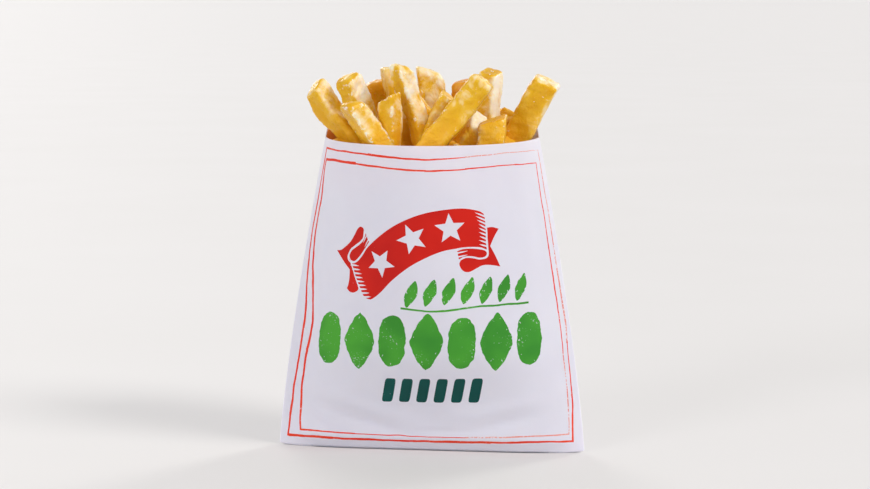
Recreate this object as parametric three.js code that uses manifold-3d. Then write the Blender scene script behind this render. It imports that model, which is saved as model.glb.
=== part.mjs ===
// French fries standing in a small flat paper bag, in millimetres, +Z up.
// The bag is one sheet of paper folded into a sleeve: two panels of equal width that meet at a sharp
// crease on each side. The panels lie close together at the base and bow apart towards the mouth, so the
// bag is wide and thin at the bottom and nearly round at the top. The back panel stands a little higher.
// The fries are one heap: a core that fills the bag, with every fry that shows fused onto it.
// The origin is the middle of the underside, on the surface that the bag stands on.
import * as THREE from "three";
import { mergeVertices } from "three/addons/utils/BufferGeometryUtils.js";
import Module from "manifold-3d";

const wasm = await Module();
wasm.setup();

// ---- Driving sizes -------------------------------------------------------------------------------

const PANEL_WIDTH = 114.3; // one panel laid flat, crease to crease: 4.5 inches
const BASE_CHORD = 112.8; // between the creases, at the base
const MOUTH_CHORD = 78.2; // between the creases, at the mouth
const CHORD_POWER = 1.25; // how the chord narrows with height
const FRONT_HEIGHT = 114; // of the front panel at the creases
const RIM_DIP = 1.1; // how much lower a panel's rim is in its middle, where it leans out
const BACK_RISE = 6; // how far the back panel stands above the front one
const BACK_STEP = 5; // along the rim, where the back panel rises from the crease
const WALL = 0.6; // paper with its lap seams, as a solid
const FLOOR = 0.8; // the folded base, several layers thick
const MOUTH_SETBACK = 5; // how far behind the middle of the base the middle of the mouth is
const FOOT_SKEW = 0.035; // the right base corner is set forward and the left one back
const FRONT_FOOT = 5.5; // from the line between the base corners to the middle of the front's foot
const BACK_FOOT = 10; // the same for the back, which is pushed out so that the bag stands
const FRONT_BLUNTNESS = 6; // power of the foot's outline: 2 is a plain curve, more is straighter
const BACK_BLUNTNESS = 2.2;
const FOOT_HEIGHT = 40; // above which the section is the paper's free curve
const EDGE_RADIUS = 1; // of the fold round the base
const CLEARANCE = 0.5; // between the paper and the heap

const CORE_TOP = 101; // middle of the core's upper side
const CORE_DOME = 3; // how much lower it is at the wall
const MOUTH_LEVEL = 113; // height at which the fries' places are given
const FRY_ROOT = 96; // height that every fry reaches down to, inside the core
const FRY_SIZE = 9.4; // side of a straight-cut fry
const FRY_CHAMFER = 0.24; // of half the side, where two faces meet
const FRY_BEND = 1.1; // largest sideways bow of a fry
const LEAN_OUT = 27; // degrees that a fry at the wall leans outwards

// How much the fries behind the front ones differ, from least to most
const LEAN_SPREAD = 8; // degrees
const SIZE_SPREAD = 1.2;
const TURN_SPREAD = 90; // degrees
const CUT_SPREAD = 0.5; // rise of the cut at the tip

// Rings of a fry from root to tip: share of the length, size of the section, share of the cut's slant
const FRY_RINGS = [
  [0, 0.9, 0],
  [0.3, 1, 0],
  [0.55, 0.98, 0],
  [0.8, 1.02, 0.4],
  [0.955, 0.97, 1],
  [1, 0.8, 1],
];

// Fries along the front, as they stand in the mouth, measured from its middle. Each row is: x and y at
// the level of the mouth, x, y and z of the tip, width and depth of the section, the turn about the fry's
// own axis in degrees, and how steeply the cut at the tip rises along the width and along the depth.
const FRONT_FRIES = [
  [-28, -7, -42.4, -9, 132.3, 7.8, 8.2, 52, 0.22, -0.01],
  [-21.5, -9, -29.8, -12, 136.3, 8.4, 8.5, 52, 0.206, 0.015],
  [-16.8, -23.6, -25.8, -27.1, 127.9, 7.6, 8, 40, -0.35, 0.1],
  [-15.3, 8, -21.2, 7, 134, 8.6, 8.6, 14, 0.05, 0.1],
  [-9, -2, -14.6, -3, 139.4, 8, 8.4, 20, -0.1, 0.1],
  [-2.1, -15, -10.7, -16, 141.2, 6.4, 6.8, 44, -0.19, 0.32],
  [-12.1, -21.4, -12.7, -23, 129.4, 6.9, 7.2, -26, 0.5, 0.1],
  [1.9, -5, -9.5, -6, 129.4, 7.6, 7.6, 30, 0, 0.1],
  [0.5, 5.5, -2.3, 6.5, 138.7, 9.9, 9.2, 12, -0.5, 0.1],
  [0.6, -15, 7.8, -16, 129.4, 7.7, 8, 10, -0.25, 0.1],
  [4.3, -27, 21.4, -27, 135.8, 9, 8.2, -4, 0, 0.06],
  [10.3, 5, 12, 4, 134.4, 8.2, 8.8, -14, 0.15, 0.1],
  [21.2, -6, 21.7, -7, 137.8, 7.1, 7.7, -22, -0.18, 0.22],
  [21.5, -19.2, 23.7, -20, 121.6, 9.6, 7.6, 2, 0.6, 0.1],
  [13.2, -17, 19, -18, 121.4, 7.8, 8.2, 20, 0, 0.6],
  [28.2, 4, 28.4, 3, 121.3, 8.4, 8.4, 8, 0.08, 0.1],
  [30.5, -3.6, 42.3, -7, 134.7, 10.1, 9.2, -6, 0, 0.15],
];

// Fries behind them: x and y at the level of the mouth, and how far the tip stands above it. They lean
// outwards by a rule, further the nearer they stand to the wall.
const BACK_FRIES = [
  [-29, 3, 7],
  [-24.5, 12, 12],
  [-16.5, 19, 19],
  [-7, 15, 15],
  [3, 14, 10],
  [13, 15, 17],
  [21, 11, 8],
  [26.4, 8.4, 9],
  [-16, 21.6, 13],
  [-9, 23.7, 17],
  [0, 25, 12],
  [9, 24.3, 15],
  [16.5, 21.5, 11],
  [-7, 3, 18],
  [16, 3, 14],
  [12, -5, 8],
  [9, -17, 1],
  [26.5, -12, 1],
  [-31.5, -2, 1],
  [22.5, 2, 6],
];

// Fineness of the faceted surfaces
const PANEL_STEPS = 22;
const CREASE_CROWDING = 0.35; // 0 spaces the steps evenly, 1 crowds them at the creases
const CORE_RINGS = 4;
const LEVEL_STEPS = 10;
// Heights at which the paper and the heap both have a ring, so that their facets stay parallel
const LEVELS = Array.from({ length: LEVEL_STEPS - 1 }, (_, i) => (FRONT_HEIGHT * (i + 1)) / LEVEL_STEPS);

// ---- The bag's section ---------------------------------------------------------------------------

const clamp01 = (t) => Math.min(1, Math.max(0, t));
const smooth = (t) => clamp01(t) ** 2 * (3 - 2 * clamp01(t));

// Distance between the creases at a height.
function chordAt(z) {
  const share = Math.max(0, z) / FRONT_HEIGHT;
  return BASE_CHORD - (BASE_CHORD - MOUTH_CHORD) * share ** CHORD_POWER;
}

// Each panel is an arc whose length is PANEL_WIDTH over that chord. Gives half its angle and its radius.
function arcAt(z) {
  const ratio = PANEL_WIDTH / chordAt(z);
  let low = 0.01;
  let high = 1.8;
  for (let i = 0; i < 40; i++) {
    const middle = (low + high) / 2;
    if (middle / Math.sin(middle) < ratio) low = middle;
    else high = middle;
  }
  return { half: low, radius: PANEL_WIDTH / 2 / low };
}

// How far back the middle of the section is at a height: the bag leans back evenly.
function middleAt(z) {
  return (MOUTH_SETBACK * z) / FRONT_HEIGHT;
}

// A point of a panel. across runs from -1 at the left crease to 1 at the right one, side is -1 for the
// front panel and 1 for the back one, and inset is how far inside the paper's outer face the point lies.
function panelPoint(across, z, side, inset) {
  const { half, radius } = arcAt(z);
  const toCentre = radius * Math.cos(half);
  const inner = radius - inset;
  const innerHalf = Math.acos(toCentre / inner);
  const angle = across * innerHalf;
  const x = inner * Math.sin(angle);
  const reach = x / (inner * Math.sin(innerHalf));
  const free = inner * Math.cos(angle) - toCentre;
  const [out, bluntness] = side < 0 ? [FRONT_FOOT, FRONT_BLUNTNESS] : [BACK_FOOT, BACK_BLUNTNESS];
  const foot = (out - inset) * (1 - Math.abs(reach) ** bluntness);
  const bulge = THREE.MathUtils.lerp(foot, free, smooth(z / FOOT_HEIGHT));
  const skew = FOOT_SKEW * (1 - smooth(z / FRONT_HEIGHT));
  return new THREE.Vector3(x, side * bulge + middleAt(z) - skew * x, z);
}

// Height of the paper's edge at a place on a panel.
function rimAt(across, side) {
  const front = FRONT_HEIGHT - RIM_DIP * (1 - across * across);
  if (side < 0) return front;
  const fromCrease = ((1 - Math.abs(across)) * PANEL_WIDTH) / 2;
  return front + BACK_RISE * smooth(fromCrease / BACK_STEP);
}

// The places across a panel, closer together beside the creases, where the section turns sharply.
function placesAcross() {
  const places = [];
  for (let i = 0; i <= PANEL_STEPS; i++) {
    const even = (2 * i) / PANEL_STEPS - 1;
    const crowded = Math.sin((even * Math.PI) / 2);
    places.push(THREE.MathUtils.lerp(even, crowded, CREASE_CROWDING));
  }
  return places;
}

// A closed ring round the bag: the front panel from left to right, then the back one from right to left.
function ringAround(zOf, inset) {
  const places = placesAcross();
  const ring = places.map((a) => panelPoint(a, zOf(a, -1), -1, inset));
  for (const a of places.slice(1, -1).reverse()) ring.push(panelPoint(a, zOf(a, 1), 1, inset));
  return ring;
}

// ---- Meshes from rings ---------------------------------------------------------------------------

// A closed body from rings of equal length, from the bottom up, or from outside over the top to inside.
// The first and last ring are each closed by a lid. Every quad is split from its lower left corner to its
// upper right one, as seen from outside the bag, so that the facets of neighbouring bodies are alike.
function bodyFromRings(rings, lid) {
  const count = rings[0].length;
  const points = rings.flat().flatMap((p) => [p.x, p.y, p.z]);
  const faces = [];
  for (let r = 0; r + 1 < rings.length; r++) {
    for (let i = 0; i < count; i++) {
      const a = r * count + i;
      const b = r * count + ((i + 1) % count);
      if (rings[r + 1][i].z >= rings[r][i].z) faces.push(a, b, b + count, a, b + count, a + count);
      else faces.push(a, b, a + count, b, b + count, a + count);
    }
  }
  const last = (rings.length - 1) * count;
  for (const [a, b, c] of lid(count)) {
    faces.push(a, c, b);
    faces.push(last + a, last + b, last + c);
  }
  return new wasm.Manifold(
    new wasm.Mesh({
      numProp: 3,
      vertProperties: new Float32Array(points),
      triVerts: new Uint32Array(faces),
    }),
  );
}

// Triangles across a ring whose front and back halves run opposite ways, as a ladder between the two.
function ladder(count) {
  const half = count / 2;
  const triangles = [];
  for (let i = 0; i < half; i++) {
    const frontA = i;
    const frontB = i + 1;
    const backA = (count - i) % count;
    const backB = count - i - 1;
    if (backA !== frontA) triangles.push([frontA, frontB, backA]);
    if (backB !== frontB) triangles.push([frontB, backB, backA]);
  }
  return triangles;
}

// Triangles from the first corner of a small convex ring.
function fan(count) {
  return Array.from({ length: count - 2 }, (_, i) => [0, i + 1, i + 2]);
}

// A three.js mesh from a solid, with flat faces.
function meshOf(solid, name, material) {
  const made = solid.getMesh();
  const geometry = new THREE.BufferGeometry();
  geometry.setAttribute("position", new THREE.BufferAttribute(made.vertProperties, made.numProp));
  geometry.setIndex(new THREE.BufferAttribute(made.triVerts, 1));
  const merged = mergeVertices(geometry, 1e-4);
  merged.computeVertexNormals();
  const mesh = new THREE.Mesh(merged, material);
  mesh.name = name;
  return mesh;
}

// ---- The paper bag -------------------------------------------------------------------------------

function paperBag() {
  const rings = [];
  // The fold round the base, then the outer face up to the rim.
  for (const turn of [0, Math.PI / 6, Math.PI / 3]) {
    const inset = EDGE_RADIUS * (1 - Math.sin(turn));
    rings.push(ringAround(() => EDGE_RADIUS * (1 - Math.cos(turn)), inset));
  }
  for (const z of [EDGE_RADIUS, ...LEVELS]) rings.push(ringAround(() => z, 0));
  rings.push(ringAround(rimAt, 0));
  // Over the rim and down the inner face to the floor.
  rings.push(ringAround(rimAt, WALL));
  for (const z of [...LEVELS].reverse()) rings.push(ringAround(() => z, WALL));
  rings.push(ringAround(() => FLOOR, WALL));
  return bodyFromRings(rings, ladder);
}

// ---- The heap of fries ---------------------------------------------------------------------------

// What fills the bag under the fries: its inner shape, with a low dome on top.
function heapCore() {
  const inset = WALL + CLEARANCE;
  const edge = CORE_TOP - CORE_DOME;
  const levels = [FLOOR + CLEARANCE, ...LEVELS.filter((z) => z < edge), edge];
  const rings = levels.map((z) => ringAround(() => z, inset));
  // Towards the middle of the top, each ring is a smaller copy of the uppermost one.
  const rim = rings[rings.length - 1];
  for (let r = 1; r <= CORE_RINGS; r++) {
    const scale = 1 - r / (CORE_RINGS + 1);
    const height = edge + CORE_DOME * (1 - scale * scale);
    const middle = middleAt(edge);
    rings.push(rim.map((p) => new THREE.Vector3(p.x * scale, middle + (p.y - middle) * scale, height)));
  }
  return bodyFromRings(rings, ladder);
}

// A number from -0.5 to 0.5 that is always the same for the same two whole numbers.
function drawn(index, kind) {
  const value = Math.sin(index * 127.1 + kind * 311.7) * 43758.5453;
  return value - Math.floor(value) - 0.5;
}

// Where a fry behind the front ones has its tip, and its section, by the rule.
function backFry([x, y, rise], index) {
  const wall = panelPoint(0, MOUTH_LEVEL, 1, 0).y - MOUTH_SETBACK;
  const leanX = (LEAN_OUT * x) / (MOUTH_CHORD / 2) + LEAN_SPREAD * drawn(index, 1);
  const leanY = (LEAN_OUT * y) / wall + LEAN_SPREAD * drawn(index, 2);
  const tipX = x + rise * Math.tan(THREE.MathUtils.degToRad(leanX));
  const tipY = y + rise * Math.tan(THREE.MathUtils.degToRad(leanY));
  const width = FRY_SIZE + SIZE_SPREAD * drawn(index, 3);
  const depth = FRY_SIZE + SIZE_SPREAD * drawn(index, 4);
  const turn = TURN_SPREAD * drawn(index, 5);
  const slants = [CUT_SPREAD * drawn(index, 7), CUT_SPREAD * drawn(index, 8)];
  return [x, y, tipX, tipY, MOUTH_LEVEL + rise, width, depth, turn, ...slants];
}

// Corners of a fry's section: a rectangle with its four edges cut off.
function fryCorners(width, depth) {
  const cut = FRY_CHAMFER;
  const corners = [
    [1, -(1 - cut)],
    [1, 1 - cut],
    [1 - cut, 1],
    [-(1 - cut), 1],
    [-1, 1 - cut],
    [-1, -(1 - cut)],
    [-(1 - cut), -1],
    [1 - cut, -1],
  ];
  return corners.map(([u, v]) => [(u * width) / 2, (v * depth) / 2]);
}

// One fry, from inside the core to its tip, slightly bowed, with a slanted cut at the tip.
function frySolid([x, y, tipX, tipY, tipZ, width, depth, turnDegrees, slantU, slantV], index) {
  const tip = new THREE.Vector3(tipX, tipY + MOUTH_SETBACK, tipZ);
  const axis = tip.clone().sub(new THREE.Vector3(x, y + MOUTH_SETBACK, MOUTH_LEVEL));
  const perHeight = axis.length() / axis.z;
  axis.normalize();
  const length = (tipZ - FRY_ROOT) * perHeight;
  const right = new THREE.Vector3(1, 0, 0).addScaledVector(axis, -axis.x).normalize();
  const away = new THREE.Vector3().crossVectors(axis, right);
  const turn = THREE.MathUtils.degToRad(turnDegrees);
  const u = right.clone().multiplyScalar(Math.cos(turn)).addScaledVector(away, Math.sin(turn));
  const v = new THREE.Vector3().crossVectors(axis, u);

  const bow = 2 * FRY_BEND * drawn(index, 6);
  const rings = [];
  for (const [share, size, slant] of FRY_RINGS) {
    const middle = tip.clone().addScaledVector(axis, -length * (1 - share));
    middle.addScaledVector(u, bow * Math.sin(Math.PI * share));
    rings.push(
      fryCorners(width * size, depth * size).map(([a, b]) =>
        middle
          .clone()
          .addScaledVector(u, a)
          .addScaledVector(v, b)
          .addScaledVector(axis, slant * (slantU * a + slantV * b)),
      ),
    );
  }
  return bodyFromRings(rings, fan);
}

// The core with all fries fused on. Hollows that the fusing seals are filled by keeping the outer skin.
function friesHeap() {
  const fries = [...FRONT_FRIES, ...BACK_FRIES.map(backFry)].map(frySolid);
  const fused = wasm.Manifold.union([heapCore(), ...fries]);
  return fused.decompose().reduce((a, b) => (a.volume() > b.volume() ? a : b));
}

// ---- The object ----------------------------------------------------------------------------------

const paper = new THREE.MeshStandardMaterial({ color: 0xe6e4ea, roughness: 0.75, metalness: 0 });
const potato = new THREE.MeshStandardMaterial({ color: 0xdda63a, roughness: 0.5, metalness: 0 });

const bagOfFries = new THREE.Group();
bagOfFries.add(meshOf(paperBag(), "paper_bag", paper));
bagOfFries.add(meshOf(friesHeap(), "fries_heap", potato));

export default bagOfFries;
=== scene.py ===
"""French fries in a small flat paper bag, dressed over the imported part.

Lengths are in millimetres until a mesh is made, +Z is up, and the printed front looks along -Y.
A place on a panel of the bag is u, the way along the paper from the panel's middle, and z, its height.
"""

import math

import bpy
import numpy as np
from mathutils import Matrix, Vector, geometry


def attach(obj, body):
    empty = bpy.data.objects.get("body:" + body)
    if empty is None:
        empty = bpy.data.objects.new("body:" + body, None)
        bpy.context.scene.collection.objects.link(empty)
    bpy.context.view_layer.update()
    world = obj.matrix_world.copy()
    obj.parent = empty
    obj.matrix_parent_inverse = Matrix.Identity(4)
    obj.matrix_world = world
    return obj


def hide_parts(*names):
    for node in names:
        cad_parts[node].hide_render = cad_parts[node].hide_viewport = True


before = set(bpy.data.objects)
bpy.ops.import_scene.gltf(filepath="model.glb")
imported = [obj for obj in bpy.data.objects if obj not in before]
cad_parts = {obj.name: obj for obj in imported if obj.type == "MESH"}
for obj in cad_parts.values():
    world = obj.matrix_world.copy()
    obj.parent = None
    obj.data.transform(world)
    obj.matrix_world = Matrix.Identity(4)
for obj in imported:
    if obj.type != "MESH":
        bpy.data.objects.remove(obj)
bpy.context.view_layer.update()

# ---- Sizes that the part's source gives too ----

PANEL_WIDTH = 114.3
HALF_PANEL = PANEL_WIDTH / 2
BASE_CHORD = 112.8
MOUTH_CHORD = 78.2
CHORD_POWER = 1.25
FRONT_HEIGHT = 114
RIM_DIP = 1.1
BACK_RISE = 6
FLOOR = 0.8
MOUTH_SETBACK = 5
FOOT_SKEW = 0.035
FRONT_FOOT = 5.5
BACK_FOOT = 10
FRONT_BLUNTNESS = 6
BACK_BLUNTNESS = 2.2
FOOT_HEIGHT = 40
EDGE_RADIUS = 1
CORE_INSET = 1.1
CORE_TOP = 101
CORE_DOME = 3
MOUTH_LEVEL = 113
FRY_ROOT = 96
FRY_SIZE = 9.4
FRY_BEND = 1.1
LEAN_OUT = 27
LEAN_SPREAD = 8
SIZE_SPREAD = 1.2
TURN_SPREAD = 90
CUT_SPREAD = 0.5

# x and y at the level of the mouth, x, y and z of the tip, width, depth, turn, and the cut's two slants
FRONT_FRIES = [
    (-28, -7, -42.4, -9, 132.3, 7.8, 8.2, 52, 0.22, -0.01),
    (-21.5, -9, -29.8, -12, 136.3, 8.4, 8.5, 52, 0.206, 0.015),
    (-16.8, -23.6, -25.8, -27.1, 127.9, 7.6, 8, 40, -0.35, 0.1),
    (-15.3, 8, -21.2, 7, 134, 8.6, 8.6, 14, 0.05, 0.1),
    (-9, -2, -14.6, -3, 139.4, 8, 8.4, 20, -0.1, 0.1),
    (-2.1, -15, -10.7, -16, 141.2, 6.4, 6.8, 44, -0.19, 0.32),
    (-12.1, -21.4, -12.7, -23, 129.4, 6.9, 7.2, -26, 0.5, 0.1),
    (1.9, -5, -9.5, -6, 129.4, 7.6, 7.6, 30, 0, 0.1),
    (0.5, 5.5, -2.3, 6.5, 138.7, 9.9, 9.2, 12, -0.5, 0.1),
    (0.6, -15, 7.8, -16, 129.4, 7.7, 8, 10, -0.25, 0.1),
    (4.3, -27, 21.4, -27, 135.8, 9, 8.2, -4, 0, 0.06),
    (10.3, 5, 12, 4, 134.4, 8.2, 8.8, -14, 0.15, 0.1),
    (21.2, -6, 21.7, -7, 137.8, 7.1, 7.7, -22, -0.18, 0.22),
    (21.5, -19.2, 23.7, -20, 121.6, 9.6, 7.6, 2, 0.6, 0.1),
    (13.2, -17, 19, -18, 121.4, 7.8, 8.2, 20, 0, 0.6),
    (28.2, 4, 28.4, 3, 121.3, 8.4, 8.4, 8, 0.08, 0.1),
    (30.5, -3.6, 42.3, -7, 134.7, 10.1, 9.2, -6, 0, 0.15),
]
# How pale each one's front, left, right and end are, a painted sheen for the light that falls on each side
# (below 0 the end is browned), how brown its blotches are, how much of its ridges is blistered white,
# partly a painted glint, and how round its end is in millimetres
FRONT_LOOKS = [
    (0.48, 0.05, 0.45, 0.5, 0.1, 0.3, 2.8),
    (1, 0, 0.8, 0.3, 0.05, 0.5, 3.6),
    (0.86, 0.15, 0.75, 0.3, 0.05, 1.1, 3.4),
    (0.4, 0.2, 0.1, 0.1, 0.5, 0.1, 2.6),
    (0.35, 0.2, 0.4, 0.45, 0.05, 0.2, 2.4),
    (1, 0.05, 0.85, 0.8, 0.05, 0.9, 4.3),
    (0, 0, 0.7, 0.3, 0.1, 0.8, 1.8),
    (0.46, 0.3, 0.6, 0.4, 0.05, 0.3, 1.8),
    (0.85, 0.25, 0.5, 0.5, 0.05, 0.2, 3.6),
    (0.9, 0.4, 0.3, 0.3, 0.05, 0.4, 2),
    (0.36, 0.15, 0.3, 0.45, 0.05, 0.4, 2.7),
    (0, 0, 0.1, -0.05, 0.6, 0.1, 2.6),
    (0.6, 0.1, 1.5, 0.15, 0.05, 0.3, 1.2),
    (0.85, 0.35, 0.75, -0.1, 0.1, 0.8, 1.8),
    (0.9, 0.5, 1, 2.3, 0, 0.3, 2.6),
    (0.5, 0, 0, 0, 0.3, 0.2, 1.6),
    (0.1, 0, 0.9, 0.95, 0, 0.4, 2),
]
# x and y at the level of the mouth, and how far the tip stands above it
BACK_FRIES = [
    (-29, 3, 7), (-24.5, 12, 12), (-16.5, 19, 19), (-7, 15, 15), (3, 14, 10),
    (13, 15, 17), (21, 11, 8), (26.4, 8.4, 9), (-16, 21.6, 13), (-9, 23.7, 17),
    (0, 25, 12), (9, 24.3, 15), (16.5, 21.5, 11), (-7, 3, 18), (16, 3, 14),
    (12, -5, 8), (9, -17, 1), (26.5, -12, 1), (-31.5, -2, 1), (22.5, 2, 6),
]

# ---- Sizes of this scene ----

MM = 0.001
PAPER = 0.3  # thickness that the paper shows at the rim
BACK_STEP = 1.4  # along the rim, where the back panel rises from the crease: steeper than in the part
PANEL_CELLS = 78  # both ways

SENSOR_WIDTH = 36
IMAGE_WIDTH = 870
FOCAL_PIXELS = 2204
MIDDLE_PIXEL = 432  # across the picture, where the object's middle is seen
CAMERA_DISTANCE = 800
CAMERA_HEIGHT = 165
CAMERA_AZIMUTH = math.radians(6)
CAMERA_PITCH = math.radians(6.45)
FLOOR_REACH = 200000


# ---- Numbers ----


def smooth(t):
    """From 0 to 1 without a corner, as t goes from 0 to 1."""
    t = np.clip(t, 0, 1)
    return t * t * (3 - 2 * t)


def drawn(index, kind):
    """A number from -0.5 to 0.5 that is always the same for the same two whole numbers."""
    value = math.sin(index * 127.1 + kind * 311.7) * 43758.5453
    return value - math.floor(value) - 0.5


def unit(vectors):
    return vectors / np.linalg.norm(vectors, axis=-1, keepdims=True)


def ripples(places, size, seed, waves=12):
    """A smooth uneven field, mostly from -1 to 1, whose bumps are about size apart."""
    rng = np.random.default_rng(seed)
    ways = unit(rng.normal(size=(waves, places.shape[-1])))
    ways *= 2 * math.pi / size * rng.uniform(0.6, 1.4, size=(waves, 1))
    phases = rng.uniform(0, 2 * math.pi, size=waves)
    return np.sin(places @ ways.T + phases).sum(axis=-1) / math.sqrt(waves)


# ---- The bag's section ----


def arc_at(z):
    """Half the angle and the radius of a panel's arc at each height, by halving the error."""
    share = np.maximum(z, 0) / FRONT_HEIGHT
    ratio = PANEL_WIDTH / (BASE_CHORD - (BASE_CHORD - MOUTH_CHORD) * share**CHORD_POWER)
    low, high = np.full_like(ratio, 0.01), np.full_like(ratio, 1.8)
    for _ in range(40):
        middle = (low + high) / 2
        below = middle / np.sin(middle) < ratio
        low = np.where(below, middle, low)
        high = np.where(below, high, middle)
    return low, HALF_PANEL / low


def panel(u, z, side, inset=0):
    """Points of a plain panel. side is -1 for the front and 1 for the back."""
    half, radius = arc_at(z)
    to_centre = radius * np.cos(half)
    inner = radius - inset
    inner_half = np.arccos(to_centre / inner)
    angle = u / HALF_PANEL * inner_half
    x = inner * np.sin(angle)
    reach = x / (inner * np.sin(inner_half))
    free = inner * np.cos(angle) - to_centre
    out, bluntness = (FRONT_FOOT, FRONT_BLUNTNESS) if side < 0 else (BACK_FOOT, BACK_BLUNTNESS)
    foot = (out - inset) * (1 - np.abs(reach) ** bluntness)
    bulge = foot + (free - foot) * smooth(z / FOOT_HEIGHT)
    skew = FOOT_SKEW * (1 - smooth(z / FRONT_HEIGHT))
    y = side * bulge + MOUTH_SETBACK * z / FRONT_HEIGHT - skew * x
    return np.stack([x, y, z], axis=-1)


def outward(place, u, z, side, inset=0):
    """Unit normals of a surface. place is panel or paper_at."""
    step = 0.12
    across = place(u + step, z, side, inset) - place(u - step, z, side, inset)
    up = place(u, z + step, side, inset) - place(u, z - step, side, inset)
    return unit(np.cross(across, up) * -side)


def rim_at(u, side):
    """Height of the paper's edge."""
    across = u / HALF_PANEL
    front = FRONT_HEIGHT - RIM_DIP * (1 - across * across)
    if side < 0:
        return front
    return front + BACK_RISE * smooth((HALF_PANEL - np.abs(u)) / BACK_STEP)


# ---- Dents and folds of the paper ----

# u, z, half length, half width, slant in degrees, and depth
FRONT_DENTS = [
    (-27, 11.5, 17, 2.4, -17, -0.85),
    (-25, 16.6, 17, 2.6, -17, 0.65),
    (29, 11.5, 15, 2.4, 14, -0.7),
    (28, 16.5, 15, 2.6, 14, 0.5),
    (3, 7.2, 9, 1.3, 3, -0.3),
    (-42, 9.5, 8, 2, -35, -0.4),
    (44, 10, 8, 2.2, 30, -0.35),
    (12, 14.5, 10, 3, -8, 0.25),
    (-47, 60, 24, 3, 86, -0.35),
    (46, 78, 22, 3.5, 97, -0.35),
]
BACK_DENTS = [
    (-24, 18, 16, 3.5, 14, -0.7),
    (22, 17, 15, 3, -12, -0.6),
    (30, 62, 20, 3, 70, -0.5),
    (-36, 80, 18, 3, 100, -0.4),
    (6, 96, 12, 3, 15, -0.35),
]
WAVE_HEIGHT, WAVE_SIZE = 0.16, 34  # broad unevenness, and how far apart its bumps are
WRINKLE_HEIGHT, WRINKLE_SIZE = 0.05, 10
WRINKLE_STRETCH = (1, 0.6)  # wrinkles are longer upwards than across
CREASE_FADE = 9  # nearer than this to a side crease, the paper gets flatter
FOOT_FADE = 6  # and so it does nearer than this to the foot
BASE_TUCK = 2.1  # how far the front turns in towards its foot
BASE_TUCK_HEIGHT = 5.5
BASE_TUCK_FADE = 16  # it runs out over this width towards each crease
LAP_EDGE = 6  # where on the back the overlapping paper ends
LAP_STEP = 0.22
FLAP_TOP = 12.5  # the bottom is folded up over the back to this height
FLAP_WAVE, FLAP_WAVE_SIZE = 0.25, 9
FLAP_STEP = 0.3
STEP_WIDTH = 0.35  # over which a lap or flap falls to the paper under it
STEP_FADE = 0.8


def dents_of(u, z, rows):
    total = np.zeros_like(u)
    for du, dz, length, width, slant, depth in rows:
        c, s = math.cos(math.radians(slant)), math.sin(math.radians(slant))
        along = ((u - du) * c + (z - dz) * s) / length
        away = ((z - dz) * c - (u - du) * s) / width
        total += depth * np.exp(-along * along - away * away)
    return total


def relief(u, z, side):
    """How far the paper stands out from the plain panel."""
    flat = np.stack([u, z], axis=-1)
    total = dents_of(u, z, FRONT_DENTS if side < 0 else BACK_DENTS)
    total += WAVE_HEIGHT * ripples(flat, WAVE_SIZE, 11 + side)
    total += WRINKLE_HEIGHT * ripples(flat * WRINKLE_STRETCH, WRINKLE_SIZE, 31 + side)
    from_crease = HALF_PANEL - np.abs(u)
    total *= smooth(from_crease / CREASE_FADE) * smooth((z - EDGE_RADIUS) / FOOT_FADE)
    if side < 0:
        turned_in = BASE_TUCK * (1 - smooth(z / BASE_TUCK_HEIGHT))
        return total - turned_in * smooth(from_crease / BASE_TUCK_FADE)
    edge = smooth(from_crease / STEP_FADE)
    total += LAP_STEP * edge * (1 - smooth((u - LAP_EDGE) / STEP_WIDTH))
    top = FLAP_TOP + FLAP_WAVE * np.sin(u / FLAP_WAVE_SIZE)
    return total + FLAP_STEP * edge * (1 - smooth((z - top) / STEP_WIDTH)) * smooth(z / EDGE_RADIUS)


def paper_at(u, z, side, inset=0):
    """Points of a panel with its dents and folds."""
    return panel(u, z, side, inset) + outward(panel, u, z, side) * relief(u, z, side)[..., None]


# ---- Lines and outlines of the print ----

SPAN_POINTS = 24  # worked out between two given points of a curve
# Between the points of a drawn line, of a rough edge, of the ribbon and the blocks, and of a star
LINE_STEP, ROUGH_STEP, SHAPE_STEP, STAR_STEP = 0.8, 0.45, 0.7, 1.2
WANDER, WANDER_SIZE = 0.07, 9  # how far a drawn line strays, and how far apart its bends are
STAR_WAIST = 0.44  # radius of a star's inner corners, as a share of the outer


def curve_through(points, step, closed=False):
    """Evenly spaced points on a smooth line through the given ones: pairs, or u, z, u, z, and so on."""
    p = np.reshape(points, (-1, 2)).astype(float)
    if closed:
        p = np.vstack([p[-1], p, p[0], p[1]])
    else:
        p = np.vstack([2 * p[0] - p[1], p, 2 * p[-1] - p[-2]])
    t = np.linspace(0, 1, SPAN_POINTS, endpoint=False)[:, None]
    parts = []
    for a, b, c, d in zip(p[:-3], p[1:-2], p[2:-1], p[3:]):
        cubic = 2 * b + (c - a) * t + (2 * a - 5 * b + 4 * c - d) * t**2
        parts.append((cubic + (3 * b - a - 3 * c + d) * t**3) / 2)
    line = np.vstack(parts + [p[-2:-1]])
    gone = np.concatenate([[0], np.cumsum(np.linalg.norm(np.diff(line, axis=0), axis=1))])
    count = max(2, int(round(gone[-1] / step)) + 1)
    at = np.linspace(0, gone[-1], count)
    even = np.stack([np.interp(at, gone, line[:, 0]), np.interp(at, gone, line[:, 1])], axis=1)
    return even[:-1] if closed else even


def sideways(line, closed=False):
    """Unit vectors to the left of a line's points."""
    ahead = np.roll(line, -1, axis=0) - np.roll(line, 1, axis=0)
    if not closed:
        ahead[0] = line[1] - line[0]
        ahead[-1] = line[-1] - line[-2]
    x, y = unit(ahead).T
    return np.stack([-y, x], axis=1)


def uneven(line, size, fine_size, seed):
    """How much wider or narrower than it should be one side of a drawn line is."""
    return 1 + 0.12 * ripples(line, size, seed) + 0.08 * ripples(line, fine_size, seed + 1)


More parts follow.
